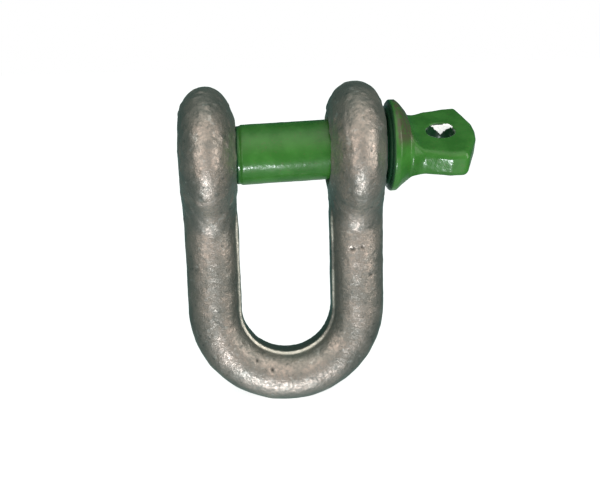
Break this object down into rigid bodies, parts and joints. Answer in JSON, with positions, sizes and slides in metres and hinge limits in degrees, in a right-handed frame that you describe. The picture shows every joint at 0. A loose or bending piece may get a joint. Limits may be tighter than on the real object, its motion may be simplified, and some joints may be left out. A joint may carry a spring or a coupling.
{
  "type": "D shackle",
  "caption": "Forged galvanised D shackle with a green painted screw collar pin that pulls out along its own axis.",
  "frame": {"origin": "on the pin's axis, midway between the two eyes", "axes": "+X along the pin towards its head, +Z from the bow up to the pin, Y through the thickness of the eyes"},
  "size_m": [0.0546, 0.0248, 0.0601],
  "materials": {
    "galvanised_steel": "hot-dip galvanised forging, dull, blotched, with small lumps and pits",
    "green_paint": "glossy green paint on a forged pin, dusty on its upper side"
  },
  "bodies": {
    "body": {"shackle_body": "galvanised_steel"},
    "pin": {"screw_pin": "green_paint"}
  },
  "joints": [
    {"name": "pin_withdraw", "type": "slide", "parent": "body", "child": "pin", "axis": [1, 0, 0], "range_m": [0, 0.04]}
  ]
}
